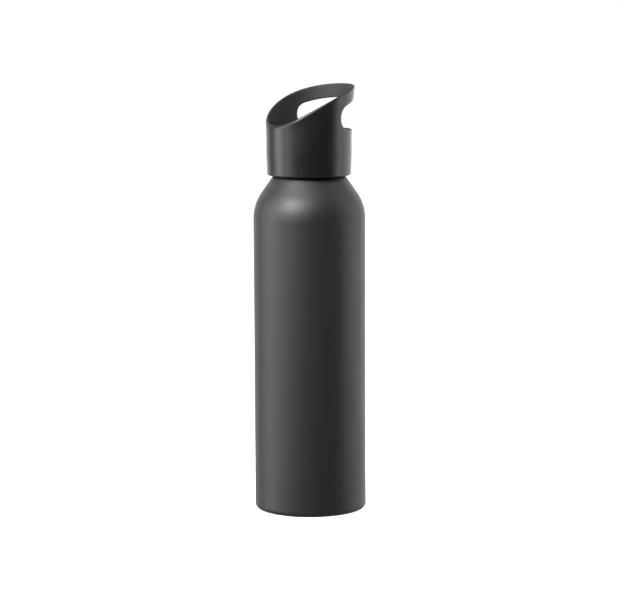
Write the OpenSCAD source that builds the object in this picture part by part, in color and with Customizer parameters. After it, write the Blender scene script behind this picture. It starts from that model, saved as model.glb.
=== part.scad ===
// Slim aluminium sports bottle with a screw cap that carries a slanted finger hoop.
// The bottle stands on z = 0 with its axis on Z; the tall side of the hoop faces +X.

/* [Bottle] */
// Outside diameter of the straight body
body_d = 66; // [56:0.5:84]
// Height from the table up to where the shoulder starts
shoulder_z = 173.6; // [120:1:230]
// Radius of the curve between the body and the shoulder cone
shoulder_r = 26; // [18:0.5:32]
// Lean of the shoulder cone from upright, in degrees
shoulder_lean = 35; // [28:1:42]
// Thickness of the drawn side wall
wall_t = 0.9; // [0.6:0.05:1.5]
// Thickness of the floor
floor_t = 1.6; // [1:0.1:3]
// Radius between the side and the standing ring
heel_r = 3; // [2:0.25:6]
// Width of the flat ring that the bottle stands on
ring_w = 2.2; // [1:0.1:5]
// Height of the step inside the standing ring
step_h = 2; // [1:0.1:4]
// Extra rise of the domed floor towards its middle
dome_h = 3.4; // [1:0.1:6]

/* [Neck] */
// Outside diameter of the neck between the threads
neck_d = 39.8; // [34:0.1:46]
// Thickness of the neck wall
neck_t = 1.2; // [0.9:0.05:2]
// Length of straight neck above the shoulder, up to the top of the lip
neck_h = 15.5; // [13:0.5:20]
// Radius where the shoulder turns into the neck
neck_fillet_r = 3; // [1:0.25:5]
// Radius of the rolled lip
lip_r = 0.9; // [0.7:0.05:1.1]

/* [Thread] */
// Rise of the thread in one turn
pitch = 4; // [3:0.25:5]
// Turns of thread on the neck and in the cap
turns = 1.75; // [1:0.25:1.75]
// Height of a thread ridge
ridge_h = 1.1; // [0.7:0.05:1.3]
// Width of a ridge where it meets its wall
ridge_root_w = 1.9; // [1.2:0.1:2]
// Width of a ridge at its crest
ridge_crest_w = 0.9; // [0.5:0.1:1.2]
// Play between a crest and the wall that faces it
thread_play = 0.3; // [0.2:0.05:0.5]
// Height of the first turn above the foot of the neck
thread_rise = 3; // [2.5:0.25:4]

/* [Cap] */
// Thickness of the skirt and of the hoop
cap_t = 1.8; // [1.4:0.1:2.4]
// Outward lean of the skirt over its lower part
skirt_lean = 0.45; // [0:0.05:0.8]
// Height of the leaning part of the skirt
skirt_lean_h = 13; // [8:0.5:16]
// Radius of the curve that flares the hoop outwards
flare_r = 300; // [200:10:600]
// Radius of the rounded lower edge of the skirt
skirt_edge_r = 0.8; // [0.3:0.05:0.85]
// Height of the skirt's lower edge above the foot of the neck
skirt_rise = -2.4; // [-3:0.1:-2]
// Thickness of the deck that closes the cap under the hoop
deck_t = 1.8; // [1.2:0.1:3]
// Radius of the bowl edge where the deck meets the hoop
deck_fillet_r = 1.5; // [0.5:0.25:3]

/* [Hoop] */
// Height of the rim above the deck at the low side
rim_low = 5.5; // [3:0.1:7]
// Height of the rim above the deck at the high side
rim_high = 29.9; // [24:0.1:40]
// Bulge of the slanted rim above a straight line between its two ends
rim_bulge = 4.1; // [2:0.1:6]
// Height of the window's sill above the deck
window_sill = 3.7; // [1.5:0.1:4.5]
// Width of the band between the window and the rim
band_w = 7.9; // [6:0.1:10]
// Distance of the window's closed end from the bottle's axis
window_end = 6.8; // [4:0.2:12]
// Radius of the window's lower corner
window_low_r = 7; // [3:0.2:7.6]
// Radius of the window's upper corner
window_high_r = 6.8; // [2:0.2:7.2]

/* [Liner and seal] */
// Thickness of the liner wall behind its thread
liner_t = 1.45; // [1:0.1:2]
// Gap between the liner and the cap around it
liner_fit = 0.05; // [0:0.01:0.15]
// Height of the liner's foot above the skirt's lower edge
liner_lift = 1.8; // [1.75:0.05:3]
// Thickness of the flange that backs the seal
flange_t = 1.5; // [1:0.1:2.5]
// Width of the flange, inwards from the liner wall
flange_w = 6; // [5:0.25:8]
// Thickness of the sealing washer
seal_t = 2; // [1.2:0.1:3]
// Width of the sealing washer
seal_w = 4.2; // [3:0.1:5]
// Play around the sealing washer
seal_play = 0.2; // [0.1:0.05:0.4]
// Gap between the washer and the lip with the cap closed
seal_gap = 0.05; // [0.02:0.01:0.2]

/* [Hidden] */
$fn = 96;
eps = 0.01;          // overlap between parts that are joined

body_r = body_d / 2;
neck_r = neck_d / 2;
bore_r = neck_r - neck_t;

// shoulder: an arc from the body, then a cone, then a hollow fillet into the neck
cone_start = [body_r - shoulder_r * (1 - cos(shoulder_lean)), shoulder_z + shoulder_r * sin(shoulder_lean)];
cone_meets_neck_z = cone_start[1] + (cone_start[0] - neck_r) / tan(shoulder_lean);
neck_foot_z = cone_meets_neck_z + neck_fillet_r * tan(shoulder_lean / 2);
lip_z = neck_foot_z + neck_h;

// cap: everything stacks up from the lip of the neck
seal_z = lip_z + seal_gap;
flange_z = seal_z + seal_t;
deck_z = flange_z + flange_t;
deck_top_z = deck_z + deck_t;
skirt_z = neck_foot_z + skirt_rise;

crest_r = neck_r + ridge_h;
liner_bore_r = crest_r + thread_play;
liner_r = liner_bore_r + liner_t;
cap_bore_r = liner_r + liner_fit;
cap_foot_r = cap_bore_r + cap_t;
cap_waist_r = cap_foot_r + skirt_lean;
flare_z = lip_z;
seal_r = liner_bore_r - seal_play;

// rim: an arc through its low end, its high end and a bulged middle
rim_low_z = deck_top_z + rim_low;
rim_high_z = deck_top_z + rim_high;
cap_top_r = cap_r_at(rim_high_z);
rim_low_p = [-cap_r_at(rim_low_z), rim_low_z];
rim_high_p = [cap_top_r, rim_high_z];
rim_chord = rim_high_p - rim_low_p;
rim_half = norm(rim_chord) / 2;
rim_arc_r = (rim_half * rim_half + rim_bulge * rim_bulge) / (2 * rim_bulge);
rim_across = [rim_chord[1], -rim_chord[0]] / norm(rim_chord);
rim_centre = (rim_low_p + rim_high_p) / 2 + rim_across * (rim_arc_r - rim_bulge);

first_turn_z = neck_foot_z + thread_rise;
steps_per_turn = 48;
fade_turns = 0.12;   // a ridge grows to its full height over this much of a turn
fade_start = 0.6;    // height it starts from, in steps of that growth
thread_sink = 0.3;   // depth that a ridge is let into its wall
over = 1;            // distance that a cut runs past the face it opens
reach = 2 * body_r;  // half length of a cut that runs right through the hoop

// outside radius of the hoop at a height above the deck
function cap_r_at(z) = cap_waist_r + flare_r - sqrt(flare_r * flare_r - pow(z - flare_z, 2));

// half section of everything inside the bottle's skin, moved inwards by inset
module bottle_outline(inset, foot_z, top_r, top_z) {
    side_r = body_r - inset;
    foot_r = max(heel_r - inset, wall_t / 2);
    bend_r = shoulder_r - inset;
    bend_c = [body_r - shoulder_r, shoulder_z];
    lean = [cos(shoulder_lean), sin(shoulder_lean)];
    fillet_r = neck_fillet_r + neck_r - top_r;
    fillet_c = [neck_r + neck_fillet_r, neck_foot_z];
    difference() {
        union() {
            polygon([[0, foot_z], [side_r - foot_r, foot_z], [side_r, foot_z + foot_r], [side_r, shoulder_z],
                bend_c + bend_r * lean, fillet_c - fillet_r * lean, [top_r, neck_foot_z],
                [top_r, top_z], [0, top_z]]);
            translate([side_r - foot_r, foot_z + foot_r]) circle(foot_r);
            intersection() {
                translate(bend_c) circle(bend_r);
                polygon([bend_c, bend_c + 2 * bend_r * [1, 0], bend_c + 2 * bend_r * lean]);
            }
        }
        translate(fillet_c) circle(fillet_r);
    }
}

// ridge of a screw thread, from a wall at wall_r out to tip_r, sunk a little into the wall
module thread_ridge(wall_r, tip_r, z) {
    sink = tip_r > wall_r ? -thread_sink : thread_sink;
    count = round(turns * steps_per_turn);
    fade = fade_turns * steps_per_turn;
    grow = [for (i = [0 : count]) min(1, (i + fade_start) / fade, (count - i + fade_start) / fade)];
    points = [for (i = [0 : count]) let (
            a = 360 * i / steps_per_turn,
            mid = z + pitch * i / steps_per_turn,
            tip = wall_r + (tip_r - wall_r) * grow[i],
            root = wall_r + sink)
        each [for (p = [[root, -ridge_root_w], [tip, -ridge_crest_w],
                [tip, ridge_crest_w], [root, ridge_root_w]])
            [p[0] * cos(a), p[0] * sin(a), mid + p[1] / 2]]];
    sides = [for (i = [0 : count - 1], k = [0 : 3]) let (a = 4 * i + k, b = 4 * i + (k + 1) % 4)
        each [[a, b, b + 4], [a, b + 4, a + 4]]];
    last = 4 * count;
    ends = [[0, 3, 2], [0, 2, 1], [last, last + 1, last + 2], [last, last + 2, last + 3]];
    faces = concat(sides, ends);
    polyhedron(points, tip_r > wall_r ? faces : [for (f = faces) [f[2], f[1], f[0]]]);
}

// drawn aluminium bottle in one piece: domed floor, side, shoulder, threaded neck and rolled lip
module bottle_shell() {
    ring_in_r = body_r - heel_r - ring_w;
    dome_r = ring_in_r - step_h;
    ball_r = (dome_r * dome_r + dome_h * dome_h) / (2 * dome_h);
    ball_c = [0, step_h + dome_h - ball_r];
    lip_c = [neck_r - lip_r, lip_z - lip_r];
    color([0.235, 0.235, 0.245])
    union() {
        rotate_extrude()
        union() {
            difference() {
                bottle_outline(0, 0, neck_r, lip_c[1]);
                // inside of the bottle, with the floor left standing
                difference() {
                    bottle_outline(wall_t, floor_t, bore_r, lip_z);
                    polygon([[0, 0], [ring_in_r, 0], [ring_in_r, floor_t], [dome_r, floor_t + step_h],
                        [0, floor_t + step_h]]);
                    dome(ball_c, ball_r + floor_t, dome_r, step_h);
                }
                // hollow under the floor
                polygon([[0, -over], [ring_in_r + over, -over], [dome_r, step_h], [0, step_h]]);
                dome(ball_c, ball_r, dome_r, step_h);
            }
            translate(lip_c) circle(lip_r);
        }
        thread_ridge(neck_r, crest_r, first_turn_z);
    }
}

// half section of a shallow dome that stands on a level
module dome(centre, ball_r, rim_r, level) {
    intersection() {
        translate(centre) circle(ball_r, $fn = 360);
        translate([0, level - eps]) square([rim_r, ball_r]);
    }
}

// side view of the slanted rim: everything under its arc
module under_rim(lower) {
    translate(rim_centre) circle(rim_arc_r - lower, $fn = 360);
}

// side view of the finger window: closed and rounded at one end, open at the tall side
module window_side() {
    sill_z = deck_top_z + window_sill;
    far_x = cap_top_r + over;
    far_z = sill_z + rim_high;
    band_r = rim_arc_r - band_w;
    high_x = window_end + window_high_r;
    high_c = [high_x, rim_centre[1] + sqrt(pow(band_r - window_high_r, 2) - pow(high_x - rim_centre[0], 2))];
    low_r = min(window_low_r, high_c[1] - sill_z);
    low_c = [window_end + low_r, sill_z + low_r];
    touch = rim_centre + band_r * (high_c - rim_centre) / norm(high_c - rim_centre);
    intersection() {
        under_rim(band_w);
        polygon([[low_c[0], sill_z], [far_x, sill_z], [far_x, far_z], [touch[0], far_z], touch,
            [window_end, high_c[1]], [window_end, low_c[1]]]);
    }
    translate(low_c) circle(low_r);
    translate(high_c) circle(window_high_r);
}

// half section inside the cap's skin above the deck, moved inwards by inset
module hoop_outline(inset, bottom_z, top_z) {
    difference() {
        translate([0, bottom_z]) square([cap_waist_r + rim_high, top_z - bottom_z]);
        translate([cap_waist_r - inset, bottom_z - over]) square([rim_high + over, flare_z - bottom_z + over]);
        translate([cap_waist_r + flare_r, flare_z]) circle(flare_r + inset, $fn = 720);
    }
}

// outer moulding of the cap: skirt, deck and hoop
module cap_shell() {
    top_z = rim_high_z + over;
    edge_z = skirt_z + skirt_edge_r;
    edge_r = cap_foot_r - skirt_edge_r;
    waist_z = skirt_z + skirt_lean_h;
    bowl_z = deck_top_z + deck_fillet_r;
    bowl_r = cap_waist_r - cap_t - deck_fillet_r;
    color([0.16, 0.16, 0.17])
    difference() {
        rotate_extrude()
        difference() {
            union() {
                polygon([[0, skirt_z], [edge_r, skirt_z], [cap_foot_r, edge_z], [cap_waist_r, waist_z],
                    [cap_waist_r, flare_z], [0, flare_z]]);
                translate([edge_r, edge_z]) circle(skirt_edge_r);
                hoop_outline(0, flare_z - eps, top_z);
            }
            // room for the liner
            translate([0, skirt_z - over]) square([cap_bore_r, deck_z - skirt_z + over]);
            // bowl above the deck
            polygon([[0, deck_top_z], [bowl_r, deck_top_z], [bowl_r + deck_fillet_r, bowl_z], [0, bowl_z]]);
            translate([bowl_r, bowl_z]) circle(deck_fillet_r);
            hoop_outline(cap_t, bowl_z - eps, top_z + eps);
        }
        // slanted rim
        rotate([90, 0, 0]) linear_extrude(2 * reach, center = true)
        difference() {
            translate([-reach, deck_top_z + rim_low / 2]) square([2 * reach, 2 * rim_high]);
            under_rim(0);
        }
        // finger window
        rotate([90, 0, 0]) linear_extrude(2 * reach, center = true) window_side();
    }
}

// inner moulding pressed into the cap: female thread and the flange that backs the seal
module thread_liner() {
    foot_z = skirt_z + liner_lift;
    flange_in_r = liner_bore_r - flange_w;
    color([0.2, 0.2, 0.21])
    union() {
        rotate_extrude()
        difference() {
            translate([flange_in_r, foot_z]) square([liner_r - flange_in_r, deck_z - foot_z]);
            translate([flange_in_r - over, foot_z - over])
                square([flange_w + over, flange_z - foot_z + over]);
        }
        thread_ridge(liner_bore_r, neck_r + thread_play, first_turn_z + pitch / 2);
    }
}

// silicone washer between the flange and the lip
module sealing_gasket() {
    color([0.85, 0.86, 0.86])
    translate([0, 0, seal_z])
    rotate_extrude() translate([seal_r - seal_w, 0]) square([seal_w, seal_t]);
}

bottle_shell();
cap_shell();
thread_liner();
sealing_gasket();
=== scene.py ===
import math

import bpy
import numpy as np
from mathutils import Matrix, Vector


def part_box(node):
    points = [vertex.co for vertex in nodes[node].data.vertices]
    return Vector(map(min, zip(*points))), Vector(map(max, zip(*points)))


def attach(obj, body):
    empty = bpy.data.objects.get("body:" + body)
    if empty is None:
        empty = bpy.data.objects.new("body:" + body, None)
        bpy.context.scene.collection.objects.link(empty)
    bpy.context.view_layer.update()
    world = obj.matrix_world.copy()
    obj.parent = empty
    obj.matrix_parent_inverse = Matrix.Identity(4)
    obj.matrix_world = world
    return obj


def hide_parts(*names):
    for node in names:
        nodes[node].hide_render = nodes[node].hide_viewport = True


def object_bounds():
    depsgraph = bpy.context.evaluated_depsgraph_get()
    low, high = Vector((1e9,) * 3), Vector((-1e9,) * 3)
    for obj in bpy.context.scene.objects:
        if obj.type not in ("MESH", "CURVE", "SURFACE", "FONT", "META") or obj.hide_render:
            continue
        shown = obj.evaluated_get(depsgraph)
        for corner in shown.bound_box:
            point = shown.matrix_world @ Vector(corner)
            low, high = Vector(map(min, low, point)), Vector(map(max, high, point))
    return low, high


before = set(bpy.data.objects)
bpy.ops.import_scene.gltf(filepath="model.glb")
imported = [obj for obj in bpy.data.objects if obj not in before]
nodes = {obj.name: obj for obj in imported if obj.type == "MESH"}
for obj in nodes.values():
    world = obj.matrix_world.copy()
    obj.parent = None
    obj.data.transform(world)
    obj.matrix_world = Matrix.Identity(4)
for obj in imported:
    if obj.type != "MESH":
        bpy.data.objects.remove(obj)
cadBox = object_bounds()
bottleTall = cadBox[1].z

# Camera. Turn runs round the bottle, 0 looking along +Y; angles in degrees, lengths in metres.
cameraSetup = {
    "turn": -32.9,
    "distance": 1.5,
    "height": 0.322,
    "pitch": -7.493,
    "roll": -0.25,
    "lens": 147.3,             # lens and sensor in millimetres
    "sensor": 36.0,
    "shift": 0.0037,
}


def makeCamera(setup):
    a = math.radians(setup["turn"])
    data = bpy.data.cameras.new("bottleCamera")
    data.lens = setup["lens"]
    data.sensor_width = setup["sensor"]
    data.shift_x = setup["shift"]
    camera = bpy.data.objects.new("bottleCamera", data)
    bpy.context.scene.collection.objects.link(camera)
    spot = Vector((math.sin(a), -math.cos(a), 0)) * setup["distance"] + Vector((0, 0, setup["height"]))
    aim = (Matrix.Rotation(a, 4, "Z")
           @ Matrix.Rotation(math.radians(90 + setup["pitch"]), 4, "X")
           @ Matrix.Rotation(math.radians(setup["roll"]), 4, "Z"))
    camera.matrix_world = Matrix.Translation(spot) @ aim
    bpy.context.scene.camera = camera


makeCamera(cameraSetup)
print("camera ready")

# Studio. Lamps stand round the bottle: turn is counted from the camera's side, left is minus.
studio = {
    "tableRadius": 8.0,
    "tableSides": 96,
    "tableTone": 0.9,
    "tableRoughness": 0.8,
    "tableGlow": 0.95,
    "backdrop": 1.05,          # the air as the camera sees it
}
# what the bottle mirrors of the room; start and end are cosines of the angle from the glow's middle
airBehind = {"turn": 180, "lift": 0, "start": -0.2, "end": 1.0, "strength": 0.38}
airBelow = {"turn": 0, "lift": -90, "start": 0.0, "end": 0.45, "strength": 0.38}
tallCard = {"lift": 5, "reach": 1.2, "size": (0.5, 1.2), "tint": (1.0, 1.0, 1.0)}
coolCard = {**tallCard, "tint": (0.92, 0.96, 1.0)}
softBox = {"lift": 45, "reach": 1.2, "size": (0.45, 0.45), "tint": (0.97, 0.985, 1.0)}
lamps = {
    "sideLeft": {**coolCard, "turn": -90, "power": 10.5},
    "frontLeft": {**coolCard, "turn": -60, "power": 4.4},
    "backLeft": {**tallCard, "turn": -150, "power": 2.4},
    "sideRight": {**tallCard, "turn": 90, "power": 5.0},
    "backRight": {**tallCard, "turn": 120, "power": 3.3},
    "farRight": {**tallCard, "turn": 150, "power": 3.2},
    "highLeft": {**softBox, "turn": -75, "power": 2.3},
    "window": {**softBox, "turn": -44, "lift": 38, "power": 23.6},
    "highFront": {**softBox, "turn": -15, "power": 5.9},
    "highRight": {**softBox, "turn": 90, "power": 1.5},
    "overhead": {**softBox, "turn": 0, "lift": 88, "reach": 1.3, "size": (0.8, 0.8), "power": 5.3},
}


def fromCamera(turn, lift, reach):
    a = math.radians(cameraSetup["turn"] + turn)
    e = math.radians(lift)
    return Vector((math.sin(a) * math.cos(e), -math.cos(a) * math.cos(e), math.sin(e))) * reach


def makeLamp(name, lamp):
    data = bpy.data.lights.new(name, "AREA")
    data.shape = "RECTANGLE"
    data.size, data.size_y = lamp["size"]
    data.energy = lamp["power"]
    data.color = lamp["tint"]
    lampObject = bpy.data.objects.new(name, data)
    bpy.context.scene.collection.objects.link(lampObject)
    middle = Vector((0, 0, bottleTall / 2))
    lampObject.location = middle + fromCamera(lamp["turn"], lamp["lift"], lamp["reach"])
    lampObject.rotation_mode = "QUATERNION"
    lampObject.rotation_quaternion = (lampObject.location - middle).to_track_quat("Z", "Y")
    lampObject.visible_camera = False


# soft light from one side of the room, fading to nothing round the other side
def addGlow(tree, place, glow):
    along = tree.nodes.new("ShaderNodeVectorMath")
    along.operation = "DOT_PRODUCT"
    along.inputs[1].default_value = fromCamera(glow["turn"], glow["lift"], 1)
    tree.links.new(place, along.inputs[0])
    fade = tree.nodes.new("ShaderNodeMapRange")
    fade.interpolation_type = "SMOOTHSTEP"
    fade.inputs["From Min"].default_value = glow["start"]
    fade.inputs["From Max"].default_value = glow["end"]
    fade.inputs["To Max"].default_value = glow["strength"]
    tree.links.new(along.outputs["Value"], fade.inputs["Value"])
    return fade.outputs["Result"]


def makeSurroundings():
    world = bpy.data.worlds.new("studioAir")
    bpy.context.scene.world = world
    world.use_nodes = True
    tree = world.node_tree
    tree.nodes.clear()
    place = tree.nodes.new("ShaderNodeTexCoord").outputs["Generated"]
    both = tree.nodes.new("ShaderNodeMath")
    tree.links.new(addGlow(tree, place, airBehind), both.inputs[0])
    tree.links.new(addGlow(tree, place, airBelow), both.inputs[1])
    seen = tree.nodes.new("ShaderNodeLightPath")
    level = tree.nodes.new("ShaderNodeMix")
    level.inputs["B"].default_value = studio["backdrop"]
    tree.links.new(seen.outputs["Is Camera Ray"], level.inputs["Factor"])
    tree.links.new(both.outputs["Value"], level.inputs["A"])
    air = tree.nodes.new("ShaderNodeBackground")
    air.inputs["Color"].default_value = (1, 1, 1, 1)
    tree.links.new(level.outputs["Result"], air.inputs["Strength"])
    out = tree.nodes.new("ShaderNodeOutputWorld")
    tree.links.new(air.outputs["Background"], out.inputs["Surface"])


def makeFloor():
    count = studio["tableSides"]
    radius = studio["tableRadius"]
    angles = [2 * math.pi * i / count for i in range(count)]
    data = bpy.data.meshes.new("paleFloor")
    edge = [(radius * math.cos(a), radius * math.sin(a), 0) for a in angles]
    data.from_pydata(edge, [], [range(count)])
    floor = bpy.data.objects.new("paleFloor", data)
    bpy.context.scene.collection.objects.link(floor)
    table = bpy.data.materials.new("paleTable")
    table.use_nodes = True
    shader = table.node_tree.nodes["Principled BSDF"]
    shader.inputs["Base Color"].default_value = (studio["tableTone"],) * 3 + (1,)
    shader.inputs["Roughness"].default_value = studio["tableRoughness"]
    shader.inputs["Emission Color"].default_value = (1, 1, 1, 1)
    shader.inputs["Emission Strength"].default_value = studio["tableGlow"]
    data.materials.append(table)
    floor.visible_glossy = False     # the bottle does not mirror the table top
    floor.visible_diffuse = False


makeSurroundings()
makeFloor()
for lampName, lampData in lamps.items():
    makeLamp(lampName, lampData)
bpy.context.scene.view_settings.view_transform = "Standard"
print("studio ready")

# Cap moulding: the same form as the frame's cap, with its rim, window, skirt and bore edges rolled over.
capLow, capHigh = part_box("cap_shell")
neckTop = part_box("bottle_shell")[1].z
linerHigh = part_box("thread_liner")[1]
cap = {
    "wall": 0.0018,
    "deck": 0.0018,
    "skirtLean": 0.00045,
    "leanHeight": 0.013,
    "flareRadius": 0.300,
    "linerFit": 0.00005,
    "rimLow": 0.0055,          # rim above the deck at the low side
    "rimBulge": 0.0041,
    "sill": 0.0037,            # window sill above the deck
    "band": 0.0079,            # from the window up to the rim
    "windowEnd": 0.0068,
    "windowLowRadius": 0.0070,
    "windowHighRadius": 0.0068,
    "bowlRadius": 0.0015,
    "rimRoll": 0.00080,        # rolled edges
    "windowRoll": 0.00070,
    "skirtRoll": 0.00080,
    "boreRoll": 0.00030,
}
capMesh = {
    "cell": 0.00046,           # size of the faces
    "margin": 2.5,             # cells kept free round the cap
    "evenRounds": 5,           # rounds that spread the points evenly
    "settleRounds": 2,
    "settleStep": 2e-6,
    "leastSlope": 0.25,
    "normalStep": 2e-5,
}

deckTop = linerHigh.z + cap["deck"]
boreRadius = linerHigh.x + cap["linerFit"]
footRadius = boreRadius + cap["wall"]
waistRadius = footRadius + cap["skirtLean"]
skirtZ = capLow.z


def flareAt(z):
    rise = np.maximum(z - neckTop, 0)
    return waistRadius + cap["flareRadius"] - np.sqrt(cap["flareRadius"] ** 2 - rise ** 2)


# centre and radius of the arc that the slanted rim follows, seen from the side
def rimArc():
    lowZ = deckTop + cap["rimLow"]
    low = np.array([-flareAt(lowZ), lowZ])
    high = np.array([capHigh.x, capHigh.z])
    chord = high - low
    half = np.linalg.norm(chord) / 2
    radius = (half ** 2 + cap["rimBulge"] ** 2) / (2 * cap["rimBulge"])
    across = np.array([chord[1], -chord[0]]) / (2 * half)
    return (low + high) / 2 + across * (radius - cap["rimBulge"]), radius


rimCentre, rimRadius = rimArc()


# where two solids overlap, with their shared edge rolled over
def rolled(a, b, roll):
    u = np.maximum(roll + a, 0)
    v = np.maximum(roll + b, 0)
    return np.minimum(-roll, np.maximum(a, b)) + np.hypot(u, v)


# distance from the finger window's outline, seen from the side; minus inside the window
def windowSide(x, z):
    sillZ = deckTop + cap["sill"]
    lowR, highR = cap["windowLowRadius"], cap["windowHighRadius"]
    bandR = rimRadius - cap["band"]
    low = np.array([cap["windowEnd"] + lowR, sillZ + lowR])
    highX = cap["windowEnd"] + highR
    highZ = rimCentre[1] + math.sqrt((bandR - highR) ** 2 - (highX - rimCentre[0]) ** 2)
    edge = np.maximum(np.hypot(x - rimCentre[0], z - rimCentre[1]) - bandR,
                      np.maximum(sillZ - z, cap["windowEnd"] - x))
    edge = np.where((x < low[0]) & (z < low[1]), np.hypot(x - low[0], z - low[1]) - lowR, edge)
    outward = np.array([highX, highZ]) - rimCentre
    beside = (x - highX) * outward[1] - (z - highZ) * outward[0] < 0
    return np.where(beside & (z > highZ), np.hypot(x - highX, z - highZ) - highR, edge)


# distance from the cap's skin at each point; minus inside the plastic
def capForm(p):
    x, y, z = p[:, 0], p[:, 1], p[:, 2]
    r = np.hypot(x, y)
    lean = cap["skirtLean"] * np.clip((z - skirtZ) / cap["leanHeight"], 0, 1) - cap["skirtLean"]
    outside = r - flareAt(z) - lean
    rim = np.hypot(x - rimCentre[0], z - rimCentre[1]) - rimRadius
    bowl = rolled(r - flareAt(z) + cap["wall"], deckTop - z, cap["bowlRadius"])
    room = np.maximum(r - boreRadius, z - linerHigh.z)
    body = rolled(outside, skirtZ - z, cap["skirtRoll"])
    body = rolled(body, -room, cap["boreRoll"])
    body = rolled(np.maximum(body, -bowl), rim, cap["rimRoll"])
    return rolled(body, -windowSide(x, z), cap["windowRoll"])


# quads that follow a form's skin, one vertex in each grid cell that the skin crosses
def skinOf(form, low, high, cell):
    margin = capMesh["margin"] * cell
    low = np.array(low) - margin
    counts = np.ceil((np.array(high) + margin - low) / cell).astype(int) + 1
    axes = [low[k] + cell * np.arange(counts[k]) for k in range(3)]
    grid = np.stack(np.meshgrid(*axes, indexing="ij"), -1).reshape(-1, 3)
    value = form(grid).reshape(counts)
    inside = value < 0
    total = np.zeros(counts - 1)
    spot = np.zeros(tuple(counts - 1) + (3,))
    crossings = []
    for k in range(3):
        near = [slice(None)] * 3
        far = [slice(None)] * 3
        near[k], far[k] = slice(0, -1), slice(1, None)
        near, far = tuple(near), tuple(far)
        crossed = inside[near] != inside[far]
        at = np.argwhere(crossed)
        share = value[near][crossed] / (value[near][crossed] - value[far][crossed])
        point = low + cell * at
        point[:, k] += cell * share
        crossings.append((k, at, inside[near][crossed]))
        i, j = [(1, 2), (2, 0), (0, 1)][k]
        for di in (0, 1):
            for dj in (0, 1):
                box = at.copy()
                box[:, i] -= di
                box[:, j] -= dj
                np.add.at(total, tuple(box.T), 1)
                np.add.at(spot, tuple(box.T), point)
    used = total > 0
    index = np.full(total.shape, -1)
    index[used] = np.arange(used.sum())
    points = spot[used] / total[used][:, None]
    quads = []
    for k, at, startsInside in crossings:
        i, j = [(1, 2), (2, 0), (0, 1)][k]
        ring = []
        for di, dj in ((1, 1), (0, 1), (0, 0), (1, 0)):
            box = at.copy()
            box[:, i] -= di
            box[:, j] -= dj
            ring.append(index[tuple(box.T)])
        quad = np.stack(ring, 1)
        quad[~startsInside] = quad[~startsInside][:, ::-1]
        quads.append(quad)
    return points, np.concatenate(quads)


# direction and steepness of a form's distance at each point
def slopeOf(form, points, step):
    slope = np.zeros_like(points)
    for k in range(3):
        nudge = np.zeros(3)
        nudge[k] = step
        slope[:, k] = (form(points + nudge) - form(points - nudge)) / (2 * step)
    return slope


# brings points that are close to a form's skin onto it
def settle(form, points):
    for _ in range(capMesh["settleRounds"]):
        slope = slopeOf(form, points, capMesh["settleStep"])
        steep = np.maximum((slope ** 2).sum(1), capMesh["leastSlope"])
        points = points - slope * (form(points) / steep)[:, None]
    return points


# spreads the points evenly over the skin, so that rolled edges run smoothly
def evenOut(form, points, quads, rounds):
    sides = np.concatenate([quads[:, [k, (k + 1) % 4]] for k in range(4)])
    near, far = sides[:, 0], sides[:, 1]
    count = np.bincount(near, minlength=len(points))
    points = settle(form, points)
    for _ in range(rounds):
        middle = [np.bincount(near, points[far, k], len(points)) / count for k in range(3)]
        points = settle(form, (points + np.stack(middle, 1)) / 2)
    return points


def makeCap():
    points, quads = skinOf(capForm, capLow, capHigh, capMesh["cell"])
    points = evenOut(capForm, points, quads, capMesh["evenRounds"])
    slope = slopeOf(capForm, points, capMesh["normalStep"])
    slope /= np.linalg.norm(slope, axis=1)[:, None]
    data = bpy.data.meshes.new("capMoulding")
    data.from_pydata(points.tolist(), [], quads.tolist())
    data.polygons.foreach_set("use_smooth", [True] * len(data.polygons))
    data.normals_split_custom_set_from_vertices(slope.tolist())
    moulding = bpy.data.objects.new("capMoulding", data)
    bpy.context.scene.collection.objects.link(moulding)
    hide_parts("cap_shell")
    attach(moulding, "cap")
    print("cap moulding:", len(data.polygons), "faces")
    return moulding


capMoulding = makeCap()


# Finishes are node patterns; each helper adds one step to a material's tree.
def startFinish(name):
    made = bpy.data.materials.new(name)
    made.use_nodes = True
    return made, made.node_tree, made.node_tree.nodes["Principled BSDF"]


# a cloudy pattern in the piece's own coordinates; scale is in cycles a metre
def addNoise(tree, scale, detail, stretch=(1, 1, 1)):
    place = tree.nodes.new("ShaderNodeTexCoord")
    spread = tree.nodes.new("ShaderNodeMapping")
    spread.inputs["Scale"].default_value = stretch
    tree.links.new(place.outputs["Object"], spread.inputs["Vector"])
    noise = tree.nodes.new("ShaderNodeTexNoise")
    noise.inputs["Scale"].default_value = scale
    noise.inputs["Detail"].default_value = detail
    tree.links.new(spread.outputs["Vector"], noise.inputs["Vector"])
    return noise.outputs["Fac"]


def addSpan(tree, value, low, high, fromLow=0.3, fromHigh=0.7):
    span = tree.nodes.new("ShaderNodeMapRange")
    span.inputs["From Min"].default_value = fromLow
    span.inputs["From Max"].default_value = fromHigh
    span.inputs["To Min"].default_value = low
    span.inputs["To Max"].default_value = high
    tree.links.new(value, span.inputs["Value"])
    return span.outputs["Result"]


# blend of two colours; either may be a colour or another blend
def addTint(tree, value, first, second):
    blend = tree.nodes.new("ShaderNodeMix")
    blend.data_type = "RGBA"
    tree.links.new(value, blend.inputs["Factor"])
    for socket, colour in ((blend.inputs[6], first), (blend.inputs[7], second)):    # its colour sockets
        if isinstance(colour, tuple):
            socket.default_value = colour + (1,)
        else:
            tree.links.new(colour, socket)
    return blend.outputs[2]


# arithmetic on two values; either may be a number or a pattern
def addMath(tree, operation, first, second=0.0):
    step = tree.nodes.new("ShaderNodeMath")
    step.operation = operation
    for socket, value in zip(step.inputs, (first, second)):
        if isinstance(value, float):
            socket.default_value = value
        else:
            tree.links.new(value, socket)
    return step.outputs["Value"]


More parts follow.
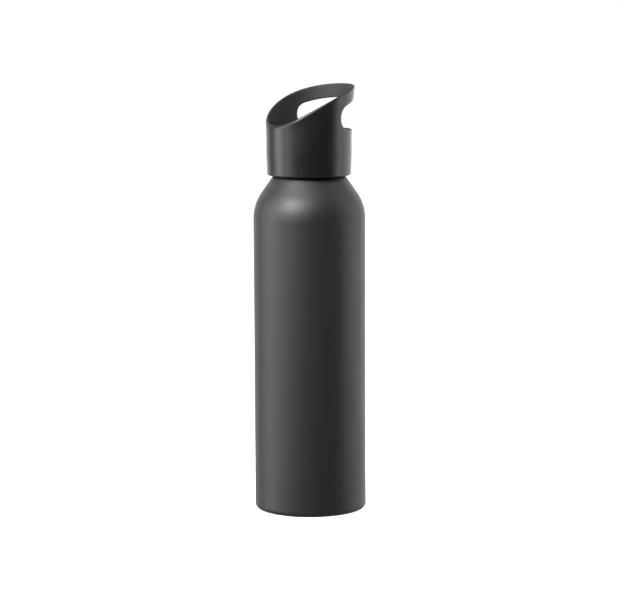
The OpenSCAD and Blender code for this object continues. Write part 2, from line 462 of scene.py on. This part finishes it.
def addBump(tree, value, depth, before=None):
    bump = tree.nodes.new("ShaderNodeBump")
    bump.inputs["Distance"].default_value = depth
    tree.links.new(value, bump.inputs["Height"])
    if before is not None:
        tree.links.new(before, bump.inputs["Normal"])
    return bump.outputs["Normal"]


def addHeight(tree):
    place = tree.nodes.new("ShaderNodeTexCoord")
    split = tree.nodes.new("ShaderNodeSeparateXYZ")
    tree.links.new(place.outputs["Object"], split.inputs["Vector"])
    return split.outputs["Z"]


# Charcoal powder coat: orange peel, fine grain, faint handling smudges, metal showing on the ring.
powderCoat = {
    "dark": (0.0078, 0.0081, 0.0089),
    "light": (0.0108, 0.0112, 0.0121),
    "bare": (0.26, 0.265, 0.27),
    "roughness": (0.48, 0.53),
    "specular": 0.5,
    "cloud": {"scale": 26, "detail": 4},
    "cloudShare": 0.35,
    "smudge": {"scale": 55, "detail": 6, "stretch": (1, 1, 0.45)},
    "peel": {"scale": 1100, "detail": 2},
    "peelDepth": 0.000012,
    "grain": {"scale": 5200, "detail": 2},
    "grainDepth": 0.000004,
    "wearHeight": 0.0003,      # metal shows below this height where the smudges are strong
    "wearSpan": (0.45, 0.62),
}


def coatBottle():
    made, tree, shader = startFinish("charcoalPowderCoat")
    cloud = addNoise(tree, **powderCoat["cloud"])
    smudge = addNoise(tree, **powderCoat["smudge"])
    peel = addNoise(tree, **powderCoat["peel"])
    grain = addNoise(tree, **powderCoat["grain"])
    coat = addTint(tree, addSpan(tree, grain, 0, 1), powderCoat["dark"], powderCoat["light"])
    coat = addTint(tree, addSpan(tree, cloud, 0, powderCoat["cloudShare"]), coat, powderCoat["light"])
    low = addSpan(tree, addHeight(tree), 1, 0, 0, powderCoat["wearHeight"])
    worn = addMath(tree, "MULTIPLY", low, addSpan(tree, smudge, 0, 1, *powderCoat["wearSpan"]))
    tree.links.new(addTint(tree, worn, coat, powderCoat["bare"]), shader.inputs["Base Color"])
    tree.links.new(worn, shader.inputs["Metallic"])
    tree.links.new(addSpan(tree, smudge, *powderCoat["roughness"]), shader.inputs["Roughness"])
    normal = addBump(tree, peel, powderCoat["peelDepth"])
    tree.links.new(addBump(tree, grain, powderCoat["grainDepth"], normal), shader.inputs["Normal"])
    shader.inputs["Specular IOR Level"].default_value = powderCoat["specular"]
    return made


# Bare aluminium of the neck, with the fine rings that the lathe leaves.
turnedNeck = {
    "dark": (0.33, 0.335, 0.345),
    "light": (0.44, 0.445, 0.455),
    "roughness": (0.32, 0.42),
    "ringScale": 1150,
    "ringDistortion": 0.6,
    "ringDepth": 0.000006,
    "cloud": {"scale": 210, "detail": 4, "stretch": (1, 1, 3)},
}


def turnNeck():
    made, tree, shader = startFinish("turnedAluminium")
    cloud = addNoise(tree, **turnedNeck["cloud"])
    place = tree.nodes.new("ShaderNodeTexCoord")
    rings = tree.nodes.new("ShaderNodeTexWave")
    rings.bands_direction = "Z"
    rings.inputs["Scale"].default_value = turnedNeck["ringScale"]
    rings.inputs["Distortion"].default_value = turnedNeck["ringDistortion"]
    tree.links.new(place.outputs["Object"], rings.inputs["Vector"])
    tree.links.new(addTint(tree, addSpan(tree, cloud, 0, 1), turnedNeck["dark"], turnedNeck["light"]),
                   shader.inputs["Base Color"])
    tree.links.new(addSpan(tree, cloud, *turnedNeck["roughness"]), shader.inputs["Roughness"])
    tree.links.new(addBump(tree, rings.outputs["Fac"], turnedNeck["ringDepth"]), shader.inputs["Normal"])
    shader.inputs["Metallic"].default_value = 1.0
    return made


# Clear lacquer over drawn aluminium inside the bottle, with upright drawing marks.
lacquer = {
    "dark": (0.40, 0.385, 0.35),
    "light": (0.56, 0.545, 0.50),
    "roughness": (0.30, 0.42),
    "draw": {"scale": 620, "detail": 4, "stretch": (1, 1, 0.03)},
    "drawDepth": 0.000008,
    "cloud": {"scale": 70, "detail": 4},
    "metallic": 0.9,
    "coat": 0.4,
}


def lacquerInside():
    made, tree, shader = startFinish("lacqueredInside")
    drawn = addNoise(tree, **lacquer["draw"])
    cloud = addNoise(tree, **lacquer["cloud"])
    tree.links.new(addTint(tree, addSpan(tree, cloud, 0, 1), lacquer["dark"], lacquer["light"]),
                   shader.inputs["Base Color"])
    tree.links.new(addSpan(tree, drawn, *lacquer["roughness"]), shader.inputs["Roughness"])
    tree.links.new(addBump(tree, drawn, lacquer["drawDepth"]), shader.inputs["Normal"])
    shader.inputs["Metallic"].default_value = lacquer["metallic"]
    shader.inputs["Coat Weight"].default_value = lacquer["coat"]
    return made


# Satin moulded plastic: spark-eroded grain, slow waves from the mould, rims rubbed a little paler.
capPlastic = {
    "dark": (0.0046, 0.0046, 0.0049),
    "light": (0.0066, 0.0066, 0.0070),
    "rubbed": (0.016, 0.016, 0.017),
    "roughness": (0.33, 0.38),
    "specular": 0.46,
    "cloud": {"scale": 60, "detail": 5},
    "grain": {"scale": 6000, "detail": 2},
    "grainDepth": 0.000003,
    "wave": {"scale": 150, "detail": 1},
    "waveDepth": 0.000018,
}
# the hoop's inner wall and the deck are rougher, and painted paler as painted light standing in for
# light that reaches inside the hoop
hollowRoughPaintedLight = {
    "dark": (0.0080, 0.0080, 0.0084),
    "light": (0.0105, 0.0105, 0.0109),
    "roughness": 0.70,
    "starts": 0.45,            # share of the wall, counted from the outside
    "full": 0.75,
    "deckStarts": 1 / 2,       # share of the deck, counted from its top
    "deckFull": 1 / 3,
}
linerPlastic = {
    "dark": (0.0090, 0.0090, 0.0094),
    "light": (0.0130, 0.0130, 0.0135),
    "rubbed": (0.030, 0.030, 0.031),
    "roughness": (0.32, 0.40),
    "specular": 0.5,
    "cloud": {"scale": 90, "detail": 5},
    "grain": {"scale": 4200, "detail": 2},
    "grainDepth": 0.000003,
    "wave": {"scale": 260, "detail": 1},
    "waveDepth": 0.000010,
}
rubbing = {"edge": (0.53, 0.62), "patch": (0.4, 0.6)}    # how sharp an edge rubs, and in which patches


# how much of the rougher skin with its painted light is applied: none on the outside, all on the hoop's
# inner wall
def addHollowRoughPaintedLight(tree):
    place = tree.nodes.new("ShaderNodeTexCoord").outputs["Object"]
    split = tree.nodes.new("ShaderNodeSeparateXYZ")
    tree.links.new(place, split.inputs["Vector"])
    z = split.outputs["Z"]
    across = addMath(tree, "POWER", split.outputs["X"], 2.0)
    along = addMath(tree, "POWER", split.outputs["Y"], 2.0)
    out = addMath(tree, "SQRT", addMath(tree, "ADD", across, along))
    rise = addMath(tree, "MAXIMUM", addMath(tree, "SUBTRACT", z, float(neckTop)), 0.0)
    flare = addMath(tree, "DIVIDE", addMath(tree, "POWER", rise, 2.0), 2 * cap["flareRadius"])
    depth = addMath(tree, "SUBTRACT", addMath(tree, "ADD", flare, float(waistRadius)), out)
    inner = addSpan(tree, depth, 0, 1, hollowRoughPaintedLight["starts"] * cap["wall"], hollowRoughPaintedLight["full"] * cap["wall"])
    deckLow = deckTop - hollowRoughPaintedLight["deckStarts"] * cap["deck"]
    above = addSpan(tree, z, 0, 1, deckLow, deckTop - hollowRoughPaintedLight["deckFull"] * cap["deck"])
    return addMath(tree, "MULTIPLY", inner, above)


def mouldPlastic(name, mix, innerRoughPaintedLight=None):
    made, tree, shader = startFinish(name)
    cloud = addNoise(tree, **mix["cloud"])
    grain = addNoise(tree, **mix["grain"])
    wave = addNoise(tree, **mix["wave"])
    mottle = addSpan(tree, cloud, 0, 1)
    plastic = addTint(tree, mottle, mix["dark"], mix["light"])
    roughness = addSpan(tree, cloud, *mix["roughness"])
    if innerRoughPaintedLight:
        # painted light: the inner wall and deck take a paler colour standing in for light reaching
        # inside the hoop, as well as more roughness
        roughPaintedLightShare = addHollowRoughPaintedLight(tree)
        plastic = addTint(tree, roughPaintedLightShare, plastic, addTint(tree, mottle, innerRoughPaintedLight["dark"], innerRoughPaintedLight["light"]))
        gain = addMath(tree, "SUBTRACT", innerRoughPaintedLight["roughness"], roughness)
        roughness = addMath(tree, "ADD", roughness, addMath(tree, "MULTIPLY", gain, roughPaintedLightShare))
    shape = tree.nodes.new("ShaderNodeNewGeometry")
    edge = addSpan(tree, shape.outputs["Pointiness"], 0, 0.5, *rubbing["edge"])
    rubbed = addMath(tree, "MULTIPLY", edge, addSpan(tree, cloud, 0, 1, *rubbing["patch"]))
    tree.links.new(addTint(tree, rubbed, plastic, mix["rubbed"]), shader.inputs["Base Color"])
    tree.links.new(roughness, shader.inputs["Roughness"])
    normal = addBump(tree, wave, mix["waveDepth"])
    tree.links.new(addBump(tree, grain, mix["grainDepth"], normal), shader.inputs["Normal"])
    shader.inputs["Specular IOR Level"].default_value = mix["specular"]
    return made


# Milky silicone of the sealing washer.
washer = {
    "dark": (0.62, 0.64, 0.63),
    "light": (0.76, 0.77, 0.76),
    "roughness": (0.40, 0.52),
    "cloud": {"scale": 180, "detail": 4},
    "grain": {"scale": 3800, "detail": 2},
    "grainDepth": 0.000006,
    "milky": 0.35,
    "glowTint": (1.0, 0.9, 0.8),
    "glowDepth": 0.0015,
}


def castSilicone():
    made, tree, shader = startFinish("milkySilicone")
    cloud = addNoise(tree, **washer["cloud"])
    grain = addNoise(tree, **washer["grain"])
    tree.links.new(addTint(tree, addSpan(tree, cloud, 0, 1), washer["dark"], washer["light"]),
                   shader.inputs["Base Color"])
    tree.links.new(addSpan(tree, cloud, *washer["roughness"]), shader.inputs["Roughness"])
    tree.links.new(addBump(tree, grain, washer["grainDepth"]), shader.inputs["Normal"])
    shader.inputs["Subsurface Weight"].default_value = washer["milky"]
    shader.inputs["Subsurface Radius"].default_value = washer["glowTint"]
    shader.inputs["Subsurface Scale"].default_value = washer["glowDepth"]
    return made


# The coat covers the outside up to the foot of the neck; the neck is bare and the inside lacquered.
bottle = {
    "neckLong": 0.0155,
    "lipDeep": 0.0018,
    "floorHigh": 0.012,
    "floorFacing": 0.01,       # least upward lean of a face on the floor inside
    "wall": 0.0009,
}


def finishBottle():
    shell = nodes["bottle_shell"].data
    shell.materials[0] = coatBottle()
    shell.materials.append(turnNeck())
    shell.materials.append(lacquerInside())
    neck, inside = 1, 2
    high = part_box("bottle_shell")[1]
    insideRadius = high.x - bottle["wall"] / 2
    for face in shell.polygons:
        spot, normal = face.center, face.normal
        out = math.hypot(spot.x, spot.y)
        inward = spot.x * normal.x + spot.y * normal.y < 0
        facesUp = normal.z > bottle["floorFacing"]
        floorInside = spot.z < bottle["floorHigh"] and facesUp and out < insideRadius
        wallInside = inward and bottle["floorHigh"] / 2 < spot.z < high.z - bottle["lipDeep"]
        if floorInside or wallInside:
            face.material_index = inside
        elif spot.z > high.z - bottle["neckLong"]:
            face.material_index = neck


finishBottle()
capMoulding.data.materials.append(mouldPlastic("capPlastic", capPlastic, hollowRoughPaintedLight))
nodes["thread_liner"].data.materials[0] = mouldPlastic("linerPlastic", linerPlastic)
nodes["sealing_gasket"].data.materials[0] = castSilicone()
print("finishes ready")
